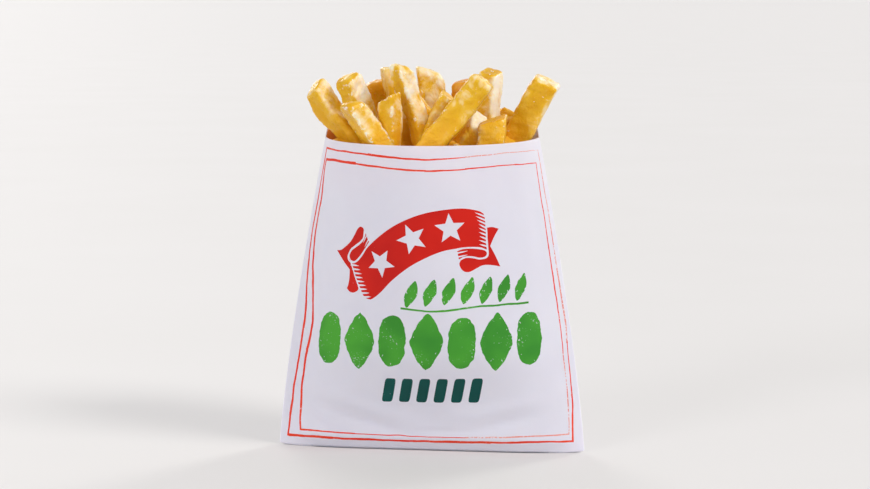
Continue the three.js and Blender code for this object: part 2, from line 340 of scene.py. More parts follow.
def stroke(points, width, seed, step=LINE_STEP):
    """The outline of a line drawn by hand, about as wide as given, all along or at its start and end."""
    line = curve_through(points, step)
    width = np.linspace(*np.broadcast_to(width, 2), len(line))
    aside = sideways(line)
    line = line + aside * WANDER * ripples(line, WANDER_SIZE, seed)[:, None]
    left = width / 2 * uneven(line, 14, 3, seed + 1)
    right = width / 2 * uneven(line, 11, 2.6, seed + 3)
    return np.vstack([line + aside * left[:, None], (line - aside * right[:, None])[::-1]])


def roughened(outline, depth, seed):
    """A closed outline with the uneven edge of a dry brush."""
    line = curve_through(outline, ROUGH_STEP, closed=True)
    wear = 0.7 * ripples(line, 4, seed) + 0.3 * ripples(line, 1.5, seed + 1)
    return line + sideways(line, closed=True) * (depth * wear)[:, None]


def rounded_form(u, z, half_width, half_height, power, lean):
    """A closed form from a diamond (power 1) over an oval (2) to a block (more), leaning to the right."""
    turn = np.linspace(0, 2 * math.pi, 40, endpoint=False)
    c, s = np.cos(turn), np.sin(turn)
    x = half_width * np.sign(c) * np.abs(c) ** (2 / power)
    y = half_height * np.sign(s) * np.abs(s) ** (2 / power)
    return np.stack([u + x + lean * y, z + y], axis=1)


def star(u, z, radius, turn):
    """A five-pointed star, with points along its straight sides."""
    angles = math.pi / 2 + turn + np.arange(10) * math.pi / 5
    reach = np.where(np.arange(10) % 2 == 0, radius, radius * STAR_WAIST)
    corners = np.stack([u + reach * np.cos(angles), z + reach * np.sin(angles)], axis=1)
    parts = []
    for a, b in zip(corners, np.roll(corners, -1, axis=0)):
        count = max(1, int(round(np.linalg.norm(b - a) / STAR_STEP)))
        parts.append(a + (b - a) * np.arange(count)[:, None] / count)
    return np.vstack(parts)


# ---- The print ----

# Width at the start and at the end, and u and z of each point
FRAME_LINES = [
    (0.7, 0.54, -47.2, 110.3, -36.5, 110.1, -27, 109.8, -20, 109.35),
    (0.8, 0.78, -20.6, 109.4, -13, 108.9, -7.6, 108.45),
    (0.64, 0.58, -8.2, 108.5, -4.1, 108.25, 1.5, 108.1, 6, 108.2, 8, 108.35),
    (0.55, 0.24, 7.6, 108.3, 11.5, 108.6, 15.6, 108.95),
    (0.42, 0.34, 15.2, 108.95, 18.5, 109.1, 23, 109.4),
    (0.3, 0.18, 22.6, 109.4, 31.7, 109.9, 52.2, 109.9),
    (0.9, 1, -45.7, 106.4, -36.2, 106.4, -26, 105.95),
    (0.66, 0.64, -26.6, 106, -16.2, 105.2, -7.1, 104.5, 1.4, 104.2),
    (0.62, 0.45, 0.9, 104.2, 4.2, 104.2, 9.8, 104.3, 15.6, 104.7),
    (0.5, 0.34, 15.2, 104.7, 21.5, 105.1, 31.5, 105.55, 36, 105.6),
    (0.42, 0.3, 35.6, 105.6, 39.6, 105.5, 49, 105.4),
    (1.07, 1.15, -47.1, 110.5, -47.9, 106.2, -49.3, 100.5, -50.6, 94.6, -51.4, 89.5),
    (1.15, 1.02, -51.4, 89.9, -52.1, 82, -52.2, 75, -52.2, 70.3),
    (1.07, 1.02, -52.2, 70.7, -51.8, 60.7, -50.8, 51.2, -51.1, 44),
    (0.94, 0.82, -51.1, 44.4, -51.7, 36, -52.8, 24.3, -53.4, 14, -53.8, 3.4),
    (1.07, 1.15, -45.6, 106.5, -46.8, 102.5, -47.3, 94.5, -48.3, 89),
    (1.15, 0.94, -48.3, 89.4, -48.9, 84.9, -49.2, 79, -49.1, 72),
    (0.94, 0.98, -49.1, 72.4, -48.8, 65.8, -48.2, 60.5, -47.4, 55.5, -46.7, 50),
    (1.11, 1.15, -46.7, 50.4, -46.5, 46.5, -47.1, 42, -48.3, 36),
    (0.98, 0.86, -48.3, 36.4, -49, 28, -49.4, 21),
    (0.86, 0.78, -49.4, 21.4, -49.3, 14, -48.8, 6),
    (1.1, 0.85, -53.6, 3.8, -44.8, 3.85, -36, 3.75),
    (0.82, 0.76, -36.5, 3.75, -20.3, 3.5, 0, 3.4),
    (0.9, 0.92, -0.5, 3.4, 9.2, 3.5, 22.5, 3.65),
    (0.8, 0.72, 22, 3.65, 32.7, 3.9, 44, 4.35, 53.1, 4.4),
    (0.66, 0.5, -48.8, 6.3, -40.2, 6.1, -27.5, 5.65),
    (0.36, 0.32, -28, 5.7, -15.9, 5.4, 1.8, 5.2, 14, 5.4),
    (0.44, 0.5, 13.5, 5.4, 25.3, 5.7, 37.2, 6.3, 51.8, 7),
    (0.52, 0.5, 48.9, 105.5, 49.4, 95.1, 50.4, 85.7, 50.9, 76),
    (0.62, 0.58, 50.9, 76.4, 51.3, 68, 51.6, 62.1, 52.1, 51),
    (0.45, 0.38, 52.1, 51.4, 52.3, 43.3, 52.2, 36),
    (0.46, 0.42, 52.2, 36.4, 52.4, 24.3, 52.3, 18, 51.8, 6.9),
    (0.62, 0.6, 52.2, 109.9, 53, 94.8, 53.8, 85.4, 53.9, 78, 54.2, 66.6),
    (0.8, 0.7, 54.2, 67, 54.9, 47.7, 54.5, 40),
    (0.34, 0.5, 54.5, 40.4, 54.3, 34, 54.3, 26, 54.2, 21),
    (0.58, 0.68, 54.2, 21.4, 53.9, 16.5, 53.3, 10.1, 53, 4),
]
THIN_LINES = (4, 5, 27, 31, 32, 33)  # the rows with the paler ink

# Outlines of the ribbon's parts, each of smooth runs that meet at corners. A run starts where the one
# before it ends.
LEFT_TAIL = [
    [-31.8, 70.5, -35.1, 74.2],
    [-33, 74.5, -30.6, 76, -28.2, 78, -26.2, 80.8, -25, 82.7, -23.6, 83.6, -22.4, 83, -22.1, 81.7,
     -22.4, 79.7, -25, 77.1, -28.2, 74.9, -29.5, 72.6, -28.2, 70.4],
    [-26.4, 66, -24.8, 61.3, -25.5, 60, -27.1, 59.3, -28.7, 59.6, -29.9, 60.7],
    [-29.3, 62.2, -28.9, 64.4, -28.8, 67.6],
]
RIGHT_TAIL = [
    [25, 83.9, 27.6, 83.2],
    [25.8, 80.4, 24.2, 77.1],
    [26.1, 73.6, 27.9, 69.6],
    [25.6, 70.1, 23.1, 70.4, 21, 70.2, 18.9, 69.2, 16.7, 68.1, 15.1, 68, 13.9, 68.6, 13, 70, 12.8, 71.2,
     13.4, 72.3],
    [16.2, 73.3, 19.8, 72.8, 22.4, 72.9, 23.2, 74.7, 23.1, 77, 22.9, 83.7],
]
BAND = [
    [22.6, 79.7, 22.6, 82.9, 22.4, 85.7, 22.2, 87.7, 21.8, 88.8],
    [20, 89.8, 15.6, 90.7, 12, 90.8, 6.4, 90.2, 0.7, 89.1, -5, 87.1, -10.9, 84.1, -16.3, 80.2,
     -21.6, 75.4, -25, 71.2, -27.9, 70.2],
    [-26.5, 66.2, -24.3, 61.7, -22.8, 58.6, -21.7, 57.7, -20.3, 57.3, -19.1, 57.6, -15.9, 60.1,
     -11.3, 64.8, -5.3, 69.6, 0.5, 72.9, 6.2, 75.3, 11.5, 76.4, 16.2, 76.9, 19.6, 76.7, 22.9, 75.9],
]
LEFT_FOLD = [
    [-20.9, 79.9, -20.1, 78.3],
    [-21.9, 75.8, -23.8, 73.4, -25.3, 71.8, -26.4, 70.9, -27.4, 70.8, -28.4, 71.3, -28.9, 72.7,
     -27.8, 74.6, -26.4, 75.6, -24.7, 76.7, -23.1, 78, -22.1, 79.4, -21.4, 81.4],
]
RIGHT_FOLD = [
    [12.1, 75.5],
    [14, 76.2, 16.6, 76.4, 19.2, 76.2, 21.5, 75.8, 22.6, 75.3, 22.9, 74.4, 22.5, 73.6, 21.4, 73.1,
     19.8, 73.1, 18.2, 73.5, 16.2, 73.7, 14.2, 73.4, 12.7, 72.5],
]
# Bare lines between those parts
RIBBON_GAPS = [
    [-19.4, 78.5, -21.6, 75.6, -23.5, 73.1, -25, 71.4, -26.4, 70.4, -27.7, 70.2, -29, 70.9, -29.5, 72.6,
     -28.2, 74.9, -26.7, 76, -25, 77.1, -23.5, 78.3, -22.4, 79.7, -21.9, 82.3],
    [-28.2, 70.2, -27.5, 68.4, -26.5, 65.8, -25.5, 63.7, -24.5, 61.5, -24, 60.2],
    [22.7, 84.6, 22.9, 82.5, 23, 79.7, 23.2, 76.7, 23.4, 74.8, 23.2, 73.6, 22.4, 72.9, 21.2, 72.7,
     19.8, 72.75, 18.2, 73.15, 16.2, 73.35, 14.2, 73.05, 12.2, 71.9],
    [10.3, 75.8, 12.2, 76.3, 16.2, 76.7, 19.6, 76.6, 21.9, 76, 23.3, 74.9],
]
# Pale wedges where the ribbon turns over: from where, to where, how many, and how thick
RIBBON_WEDGES = [
    ([-28.3, 69.4, -25.7, 63.9, -22.5, 58], [-24.4, 69.2, -22.3, 63.7, -19.6, 58.3], 9, 0.72),
    ([22.7, 87.6, 22.9, 82.3, 23.2, 77], [18.3, 89.4, 19.8, 84.8, 20, 77.9], 9, 0.66),
    ([11.9, 74.8, 12.2, 73.4], [16.4, 75.7, 16, 74.2], 2, 0.55),
    ([-20.8, 80.9, -20.2, 79.4], [-22.9, 77.4, -22.1, 76.1], 2, 0.42),
]
# u and z of the middle, radius, and turn
STARS = [(-15.6, 70.9, 5.4, 0.72), (-3.9, 79.9, 5.6, 0.42), (9.6, 83.6, 5.6, 0.08)]
GAP_WIDTH, GAP_STEP = 0.5, 0.5
WEDGE_UNEVENNESS = 0.15  # how much longer or shorter one is, as a share

STEM = [-8.5, 54.6, 4, 53.7, 20, 55.4, 39, 55.9]
STEM_WIDTH = 0.7
# How many forms, the first one's place, the step to the next, how uneven their height is, and its draw
LEAVES = (7, (-4.6, 60.2), (6.75, 0.24), 0.8, 2)
OVALS = (7, (-37.4, 41.6), (12.65, 0.2), 1.2, 3)
BLOCKS = (6, (-14.2, 23.1), (6.35, 0.1), 0, 0)
# Half width, half height, power and lean
LEAF = (2.3, 5, 1.35, 0.34)
OVAL_AND_DIAMOND = [(5, 9.6, 2.4, 0.06), (6.1, 10.8, 1.3, 0.06)]
BLOCK = (2, 4.8, 7, 0.22)
LEAF_WEAR, OVAL_WEAR = 0.12, 0.2  # how deep the brush leaves their edges uneven
SPECKS = 5  # bare ones in each


def joined_runs(runs):
    """A closed outline from smooth runs, each of which starts where the one before ends."""
    whole = [before[-2:] + run for before, run in zip([runs[-1], *runs], runs)]
    return np.vstack([curve_through(run, SHAPE_STEP)[:-1] for run in whole])


def shading_wedges(starts, ends, count, thickness):
    """Wedges that taper from a line of starts to a line of ends."""
    picks = np.linspace(0, 1, count)
    lines = [curve_through(points, 0.1) for points in (starts, ends)]
    first, tips = (line[np.round(picks * (len(line) - 1)).astype(int)] for line in lines)
    wedges = []
    for i, (start, tip) in enumerate(zip(first, tips)):
        tip = tip + (tip - start) * WEDGE_UNEVENNESS * drawn(i, count)
        aside = np.array([start[1] - tip[1], tip[0] - start[0]])
        aside *= thickness / 2 / np.linalg.norm(aside)
        belly, bulge = start + (tip - start) * 0.6, 0.75 * aside
        wedges.append(np.array([start - aside, belly - bulge, tip, belly + bulge, start + aside]))
    return wedges


def ribbon():
    """An arched red ribbon with folded ends and three stars, as ink and outline pairs."""
    forms = [("red", joined_runs(runs)) for runs in (LEFT_TAIL, RIGHT_TAIL, BAND, LEFT_FOLD, RIGHT_FOLD)]
    for i, points in enumerate(RIBBON_GAPS):
        forms.append(("paper", stroke(points, GAP_WIDTH, 300 + 7 * i, GAP_STEP)))
    for row in RIBBON_WEDGES:
        forms += [("paper", wedge) for wedge in shading_wedges(*row)]
    forms += [("paper", star(*row)) for row in STARS]
    return forms


def brushed(outline, depth, seed):
    """A green form painted with a dry brush: a rough edge and a few bare specks near it."""
    edge = roughened(outline, depth, seed)
    forms = [("green", edge)]
    middle = edge.mean(axis=0)
    rng = np.random.default_rng(seed + 500)
    for place in rng.integers(0, len(edge), size=SPECKS):
        spot = edge[place] + (middle - edge[place]) * rng.uniform(0.05, 0.2)
        size = rng.uniform(0.06, 0.15)
        stretch, lean = rng.uniform(1, 3), rng.uniform(-0.8, 0.8)
        forms.append(("paper", rounded_form(*spot, size, size * stretch, 2, lean)[::4]))
    return forms


def places_in_row(count, start, step, unevenness, kind):
    """u and z of each form of a row."""
    for i in range(count):
        yield start[0] + step[0] * i, start[1] + step[1] * i + unevenness * drawn(i, kind)


def rows_of_forms():
    """Three rows of simple forms: leaves on a stem, ovals and diamonds, and slanted blocks."""
    forms = [("green", stroke(STEM, STEM_WIDTH, 200))]
    for i, place in enumerate(places_in_row(*LEAVES)):
        forms += brushed(rounded_form(*place, *LEAF), LEAF_WEAR, 60 + 3 * i)
    for i, place in enumerate(places_in_row(*OVALS)):
        forms += brushed(rounded_form(*place, *OVAL_AND_DIAMOND[i % 2]), OVAL_WEAR, 90 + 3 * i)
    for place in places_in_row(*BLOCKS):
        forms.append(("teal", curve_through(rounded_form(*place, *BLOCK), SHAPE_STEP, closed=True)))
    return forms


def print_forms():
    """All that is printed on the front. A form covers those before it."""
    forms = []
    for i, (start, end, *points) in enumerate(FRAME_LINES):
        forms.append(("thin" if i in THIN_LINES else "line", stroke(points, (start, end), 7 * i)))
    return forms + ribbon() + rows_of_forms()


def inside(points, outline):
    """Which points lie inside a closed outline."""
    x, y = points[:, 0], points[:, 1]
    hit = np.zeros(len(points), bool)
    for (x1, y1), (x2, y2) in zip(outline, np.roll(outline, -1, axis=0)):
        if y1 != y2:
            hit ^= ((y1 > y) != (y2 > y)) & (x < x1 + (y - y1) * (x2 - x1) / (y2 - y1))
    return hit


# ---- Meshes ----

# A part is its points, its faces as rows of four corners, and a dictionary of arrays with a value for each
# point or face. A triangle's row names its last corner twice.


def grid_faces(rows, columns, closed=False):
    """The faces of a grid of points. closed joins the ends of its rows."""
    first = np.arange(rows - 1)[:, None] * columns
    i = np.arange(columns if closed else columns - 1)
    j = (i + 1) % columns
    corners = [first + i, first + j, first + j + columns, first + i + columns]
    return np.stack(corners, axis=-1).reshape(-1, 4)


def joined(parts):
    """One part from many."""
    points, faces, values, count = [], [], {}, 0
    for part_points, part_faces, part_values in parts:
        points.append(part_points)
        faces.append(part_faces + count)
        for key, numbers in part_values.items():
            values.setdefault(key, []).append(numbers)
        count += len(part_points)
    return np.vstack(points), np.vstack(faces), {key: np.concatenate(v) for key, v in values.items()}


def in_scene(name, data):
    made = bpy.data.objects.new(name, data)
    bpy.context.scene.collection.objects.link(made)
    return made


def make_object(name, part, materials):
    """A smooth object from a part, whose values are for its points."""
    points, faces, values = part
    mesh = bpy.data.meshes.new(name)
    corners = [list(dict.fromkeys(map(int, face))) for face in faces]
    mesh.from_pydata((np.asarray(points) * MM).tolist(), [], corners)
    for material in materials:
        mesh.materials.append(material)
    mesh.polygons.foreach_set("use_smooth", np.ones(len(mesh.polygons), bool))
    for key, numbers in values.items():
        attribute = mesh.attributes.new(key, "FLOAT", "POINT")
        attribute.data.foreach_set("value", np.asarray(numbers, np.float32))
    mesh.update()
    return in_scene(name, mesh)


# ---- The bag ----

# The darker and the lighter tone of each ink, and its cover
INK_LOOKS = {
    "red": ("#c2140a", "#cf1c0c", 1.02),
    "line": ("#e0301a", "#e8482c", 0.95),
    "thin": ("#dc7060", "#e8a090", 0.78),
    "green": ("#378a2b", "#4aa231", 0.93),
    "teal": ("#004640", "#00504a", 1.02),
}
INKS = ["paper", *INK_LOOKS]
COLUMNS = np.linspace(-HALF_PANEL, HALF_PANEL, PANEL_CELLS)
ROWS = np.linspace(0, 1, PANEL_CELLS)
# More of both on the back, where the lap and the flap end
LAP_COLUMNS = LAP_EDGE + np.array([-0.02, 0.1, 0.18, 0.26, 0.37])
FLAP_ROWS = FLAP_TOP - EDGE_RADIUS + np.array([-0.3, -0.1, 0.1, 0.3, 0.5, 0.7])
CUT_NEARNESS = 1e-4  # nearer corners of the print's triangles become one
FOLD_RINGS = 6
FRY_REFLECTION, FRY_REFLECTION_LEVEL, FRY_REFLECTION_FADE = 0.3, 95, 10  # how strong the painted reflected light of the fries is, from what height, and over how much it comes


def columns_of(side):
    return COLUMNS if side < 0 else np.sort(np.concatenate([COLUMNS, LAP_COLUMNS]))


def back_rows():
    height = FRONT_HEIGHT + BACK_RISE - EDGE_RADIUS
    return np.sort(np.concatenate([ROWS, FLAP_ROWS / height]))


def panel_grid(side, rows, low):
    """u and z of a grid from the given height up to the rim."""
    u = np.tile(columns_of(side), (len(rows), 1))
    z = low + (rim_at(u, side) - low) * rows[:, None]
    return u, z


def cut_sheet(grid, outlines):
    """Triangles that fill a grid's border and have edges along the outlines, and the triangles' middles."""
    border = np.vstack([grid[0], grid[1:, -1], grid[-1, -2::-1], grid[-2:0:-1, 0]])
    places, edges = [], []
    for outline in [border, *outlines]:
        first, count = len(places), len(outline)
        places += outline.tolist()
        edges += [(first + i, first + (i + 1) % count) for i in range(count)]
    places += grid[1:-1, 1:-1].reshape(-1, 2).tolist()
    cut = geometry.delaunay_2d_cdt([Vector(p) for p in places], edges, [], 0, CUT_NEARNESS, False)
    flat = np.array([v[:] for v in cut[0]])
    faces = np.array([list(f) for f in cut[2]])
    middles = flat[faces].mean(axis=1)
    kept = inside(middles, border)
    return flat, faces[kept], middles[kept]


def inks_at(places, forms):
    """The ink at each place, which is that of the last form round it."""
    inks = np.zeros(len(places), int)
    for ink, outline in forms:
        near = np.all((places >= outline.min(axis=0)) & (places <= outline.max(axis=0)), axis=1)
        found = np.flatnonzero(near)
        inks[found[inside(places[found], outline)]] = INKS.index(ink)
    return inks


def paper_part(points, normals, faces, inks, fry_reflections):
    """A part of the bag."""
    values = {
        "normal": normals.reshape(-1, 3),
        "ink": np.broadcast_to(inks, len(faces)),
        # the painted reflected light of the fries, for each point
        "fry_reflection": np.broadcast_to(fry_reflections, points.shape[:-1]).ravel(),
    }
    return points.reshape(-1, 3), faces, values


def front_face():
    """The front's outer face, cut along the outlines of its print."""
    forms = print_forms()
    grid = np.stack(panel_grid(-1, ROWS, EDGE_RADIUS), axis=-1)
    flat, faces, middles = cut_sheet(grid, [outline for _, outline in forms])
    u, z = flat.T
    faces = np.column_stack([faces, faces[:, 2]])
    return paper_part(paper_at(u, z, -1), outward(paper_at, u, z, -1), faces, inks_at(middles, forms), 0)


def bare_face(points, normals, flip, fry_reflections=0):
    """A sheet without print from a grid of points, rows by columns. flip turns its faces round."""
    faces = grid_faces(*points.shape[:2])
    return paper_part(points, normals, faces[:, ::-1] if flip else faces, 0, fry_reflections)


def back_face():
    u, z = panel_grid(1, back_rows(), EDGE_RADIUS)
    return bare_face(paper_at(u, z, 1), outward(paper_at, u, z, 1), True)


def inner_face(side):
    """The inside, with the fries' orange reflected light painted warm near the mouth: more on the left, and
    less on the right.
    """
    u, z = panel_grid(side, ROWS, FLOOR)
    # painted reflected light of the fries: warm orange, strongest at the left corner, almost none at the
    # right
    fry_reflection = FRY_REFLECTION + 0.6 * smooth((-u - 30) / 15) - 0.28 * smooth((u - 24) / 12)
    fry_reflection *= smooth((z - FRY_REFLECTION_LEVEL) / FRY_REFLECTION_FADE)
    normals = -outward(paper_at, u, z, side, PAPER)
    return bare_face(paper_at(u, z, side, PAPER), normals, side < 0, fry_reflection)


def rim_edge(side):
    """The cut edge of the paper at the mouth."""
    columns = columns_of(side)
    z = rim_at(columns, side)
    strip = np.stack([paper_at(columns, z, side), paper_at(columns, z, side, PAPER)])
    return bare_face(strip, np.tile([0, 0, 1], (2, len(columns), 1)), side > 0)


def base_fold(side):
    """The fold round the base and the half of the underside that belongs to this panel."""
    columns = columns_of(side)
    foot = np.full_like(columns, EDGE_RADIUS)
    level = outward(panel, columns, foot, side)
    tuck = level * relief(columns, foot, side)[:, None]
    rings, normals = [], []
    for turn in np.radians(np.linspace(0, 90, FOLD_RINGS)):
        z = np.full_like(columns, EDGE_RADIUS * (1 - math.cos(turn)))
        rings.append(panel(columns, z, side, EDGE_RADIUS * (1 - math.sin(turn))) + tuck * math.sin(turn))
        normals.append(level * math.sin(turn) - np.array([0, 0, math.cos(turn)]))
    middle = rings[0] * (1, 0, 1) + (rings[0][:, :1] * (0, -FOOT_SKEW, 0))
    return bare_face(np.stack([middle, *rings]), np.stack([normals[0], *normals]), side > 0)


def paper_bag():
    parts = [front_face(), back_face()]
    for side in (-1, 1):
        parts += [inner_face(side), rim_edge(side), base_fold(side)]
    whole = joined(parts)
    normals, inks = whole[2].pop("normal"), whole[2].pop("ink")
    materials = [material_of("bag_paper", bare_paper)]
    materials += [material_of(f"ink_{ink}", inked_paper, *look) for ink, look in INK_LOOKS.items()]
    bag = make_object("bag", whole, materials)
    bag.data.polygons.foreach_set("material_index", inks.astype(np.int32))
    bag.data.normals_split_custom_set_from_vertices(normals.tolist())
    return bag


# ---- Fries ----

# How wide a fry is at shares of its length, and how much of its cut's slant it has there, as in the part
FRY_SCALES = ([0, 0.3, 0.55, 0.8, 0.955, 1], [0.9, 1, 0.98, 1.02, 0.98, 0.98])
FRY_SLANTS = ([0, 0.55, 0.8, 0.955, 1], [0, 0, 0.4, 1, 1])
END_SPREADS = (0.995, 0.97, 0.92, 0.84, 0.72, 0.57, 0.4, 0.2, 0)  # how wide a rounded end's rings are
RING_POWER = 1.3  # how the other rings crowd towards the tip
CORNER = 0.44  # radius of a fry's edges, as a share of half its side
BEND_HEIGHT, BEND_SIZE = 0.3, 26  # a fry's slight bends, and how far apart they are
# The crust's bumps: height, more of it on ridges, on crisp ridges and on the end, how far apart they are,
# and the seed and number of their waves
CRUST = [
    (0.22, 0, 0, 0, 11, 3, 24),
    (0.09, 0, 0, 0, 4.5, 4, 24),
    (0.05, 0.05, 0.05, 0.08, 2.2, 5, 30),
    (0.02, 0.03, 0.05, 0, 1.3, 6, 30),
]
FACE_HOLLOW, END_HOLLOW = 0.16, 0.25  # how far a fry's faces and its end sink in
STREAK_HEIGHT, STREAK_SIZE = 0.16, 4.2  # streaks of another paleness along a fry
BROWNED_END = 1.5
END_REACH = 5  # over this length of the sides the end's look fades out
PALE_FADE, DEPTH_FADE = 11, 7  # how far above the rim a fry's painted sheen still fades, and how far it gets painted shade and painted bounce light
FRONT_DETAIL, BACK_DETAIL, LOW_DETAIL = (52, 7), (40, 6), (16, 5)  # rings, and points on a side

# The short fries between the others: their spacing and how uneven it is, and the ellipse they keep to
LOW_STEP_X, LOW_STEP_Y, LOW_SHIFT = 8.8, 8.6, 3
LOW_REACH_X, LOW_REACH_Y = 30, 23
LOW_SPAN_X, LOW_SPAN_Y = 33, 26  # the grid that they are picked from goes this far both ways
LOW_SIZE, LOW_SLANTS, LOW_LEAN = 8.8, (0.3, 0.2), 0.3
LOW_TOP, LOW_TOP_SPREAD = MOUTH_LEVEL - 7.5, 6
# Each is made from below the mouth to above it, then lowered to its place
LOW_ROOT, LOW_RISE = MOUTH_LEVEL - 8, 10


def back_fry(row, index):
    """The rule that gives a fry behind the front ones its tip and section."""
    x, y, rise = row
    wall = panel(np.array([0]), np.array([MOUTH_LEVEL]), 1)[0, 1] - MOUTH_SETBACK
    lean_x = LEAN_OUT * x / (MOUTH_CHORD / 2) + LEAN_SPREAD * drawn(index, 1)
    lean_y = LEAN_OUT * y / wall + LEAN_SPREAD * drawn(index, 2)
    tip_x = x + rise * math.tan(math.radians(lean_x))
    tip_y = y + rise * math.tan(math.radians(lean_y))
    width = FRY_SIZE + SIZE_SPREAD * drawn(index, 3)
    depth = FRY_SIZE + SIZE_SPREAD * drawn(index, 4)
    slants = (CUT_SPREAD * drawn(index, 7), CUT_SPREAD * drawn(index, 8))
    return (x, y, tip_x, tip_y, MOUTH_LEVEL + rise, width, depth, TURN_SPREAD * drawn(index, 5), *slants)


def section(per_side):
    """Places round a square with rounded corners, and how near each is to an edge, from 0 to 1."""
    flat = 1 - CORNER
    bend = np.linspace(0, math.pi / 2, per_side // 2 + 2)[1:-1]
    p = np.concatenate([np.ones(per_side), flat + CORNER * np.cos(bend)])
    q = np.concatenate([np.linspace(-flat, flat, per_side), flat + CORNER * np.sin(bend)])
    a, b = np.concatenate([p, -q, -p, q]), np.concatenate([q, p, -q, -p])
    return a, b, smooth((np.minimum(np.abs(a), np.abs(b)) - 0.42) / 0.4)


def face_tone_and_sheen(a, b, front, left, right):
    """Tone and painted sheen round a fry's section, from the paleness of three of its faces."""
    aside = smooth((np.abs(a) - np.abs(b)) / 0.9 + 0.5)
    return aside * np.where(a < 0, left, right) + (1 - aside) * np.where(b < 0, front, (left + right) / 2)


def vertex_normals(points, faces):
    p = points[faces]
    flat = np.cross(p[:, 2] - p[:, 0], p[:, 3] - p[:, 1])
    total = np.zeros_like(points)
    for k in range(4):
        np.add.at(total, faces[:, k], flat)
    return total / np.maximum(np.linalg.norm(total, axis=1, keepdims=True), 1e-9)


def fry_axes(row, root):
    """A fry's tip, the ways across its width, across its depth and along it, and its length."""
    x, y, tip_x, tip_y, tip_z, _, _, turn_degrees, *_ = row
    tip = np.array([tip_x, tip_y + MOUTH_SETBACK, tip_z])
    axis = tip - (x, y + MOUTH_SETBACK, MOUTH_LEVEL)
    length = (tip_z - root) * np.linalg.norm(axis) / axis[2]
    axis = unit(axis)
    right = unit(np.array([1, 0, 0]) - axis * axis[0])
    turn = math.radians(turn_degrees)
    u = right * math.cos(turn) + np.cross(axis, right) * math.sin(turn)
    return tip, u, np.cross(axis, u), axis, length


def fry_rings(rings, rounding, length):
    """Where a fry's rings are, as shares of its length, and how wide each is for its end's rounding."""
    shares = list((1 - rounding / length) * (1 - np.linspace(1, 0, rings) ** RING_POWER))
    spreads = [1] * rings
    power = 5.5 - 0.8 * rounding
    for t in END_SPREADS:
        shares.append(1 - rounding / length * (1 - (1 - t**power) ** (1 / power)))
        spreads.append(t)
    return np.array(shares), np.array(spreads)


def crust(local, ridge, crisp_and_glint, on_end):
    """How far the crust's bumps stand out."""
    swell = 0
    for height, more, more_if_crisp, more_on_end, size, seed, waves in CRUST:
        height = height + (more + more_if_crisp * crisp_and_glint) * ridge + more_on_end * on_end
        swell = swell + height * ripples(local, size, seed, waves)
    return swell


def fry(row, index, look, rings, per_side, root=FRY_ROOT):
    """One fry as a part, with the values that the material reads."""
    tip, u, v, axis, length = fry_axes(row, root)
    width, depth, _, slant_u, slant_v = row[5:]
    *face_tones_and_sheens, end_pale, brown, crisp_and_glint, rounding = look
    a, b, edge = section(per_side)
    shares, spreads = fry_rings(rings, rounding, length)
    scale = np.interp(shares, *FRY_SCALES) * spreads
    at_u = a * width / 2 * scale[:, None]
    at_v = b * depth / 2 * scale[:, None]
    tilt = np.interp(shares, *FRY_SLANTS)[:, None] * (slant_u * at_u + slant_v * at_v)
    low = length * (1 - shares)[:, None]
    up = shares[:, None] * length
    bow = 2 * FRY_BEND * drawn(index, 6) * np.sin(math.pi * shares)
    middle_u = bow + BEND_HEIGHT * ripples(up, BEND_SIZE, index)
    middle_v = BEND_HEIGHT * ripples(up, BEND_SIZE, index + 100)
    points = tip + u * (at_u + middle_u[:, None])[..., None]
    points = points + v * (at_v + middle_v[:, None])[..., None] + axis * (tilt - low)[..., None]
    points = points.reshape(-1, 3)
    faces = grid_faces(*at_u.shape, closed=True)

    def everywhere(numbers):
        return np.broadcast_to(numbers, at_u.shape).ravel()

    local = np.stack([at_u.ravel(), at_v.ravel(), everywhere(low)], axis=-1)
    local = local + np.array([37, 17, 53]) * index
    edge, cap = everywhere(edge), everywhere(spreads[:, None])
    rim = np.exp(-(((cap - 0.93) / 0.07) ** 2)) * (cap < 0.999)
    on_end = smooth((0.97 - cap) / 0.1)
    ridge = np.maximum(edge * (1 - on_end), rim)
    hollow = FACE_HOLLOW * ((1 - edge) * (1 - on_end)) + END_HOLLOW * on_end * smooth((0.8 - cap) / 0.5)
    swell = crust(local, ridge, crisp_and_glint, on_end) - hollow
    points = points + vertex_normals(points, faces) * swell[:, None]

    # painted sheen of each face and of the end, standing in for the light that falls on them
    side_tone_and_sheen = everywhere(face_tone_and_sheen(a, b, *face_tones_and_sheens))
    near_tip = np.maximum(on_end, 0.4 * np.exp(-((everywhere(low) / END_REACH) ** 2)))
    above = np.maximum(points[:, 2] - FRONT_HEIGHT, 0)
    # towards the rim the painted sheen fades: painted shade
    tone_and_painted_sheen = (side_tone_and_sheen + (end_pale - side_tone_and_sheen) * near_tip) * (1 - 0.85 * np.exp(-above / PALE_FADE))
    values = {
        "ridge": ridge,
        # crisp ridges: blistered crust, whitened further as a painted glint
        "crisp_and_glint": crisp_and_glint * ridge,
        "brown": brown - BROWNED_END * min(end_pale, 0) * near_tip,
        "tone_and_painted_sheen": tone_and_painted_sheen + STREAK_HEIGHT * ripples(local * (1, 1, 0.25), STREAK_SIZE, 9, 24),
        # depth: how deep in the mouth a point is, for painted shade and painted bounce light lower down
        "depth": np.exp(-above / DEPTH_FADE),
    }
    return points, faces, values


def random_look(index):
    pales = [0.35 + 0.7 * drawn(index, 22 + k) for k in range(4)]
    return (*pales, 0.3 + 0.5 * drawn(index, 21), 0.5 + drawn(index, 20), 2.2 + 1.2 * drawn(index, 19))


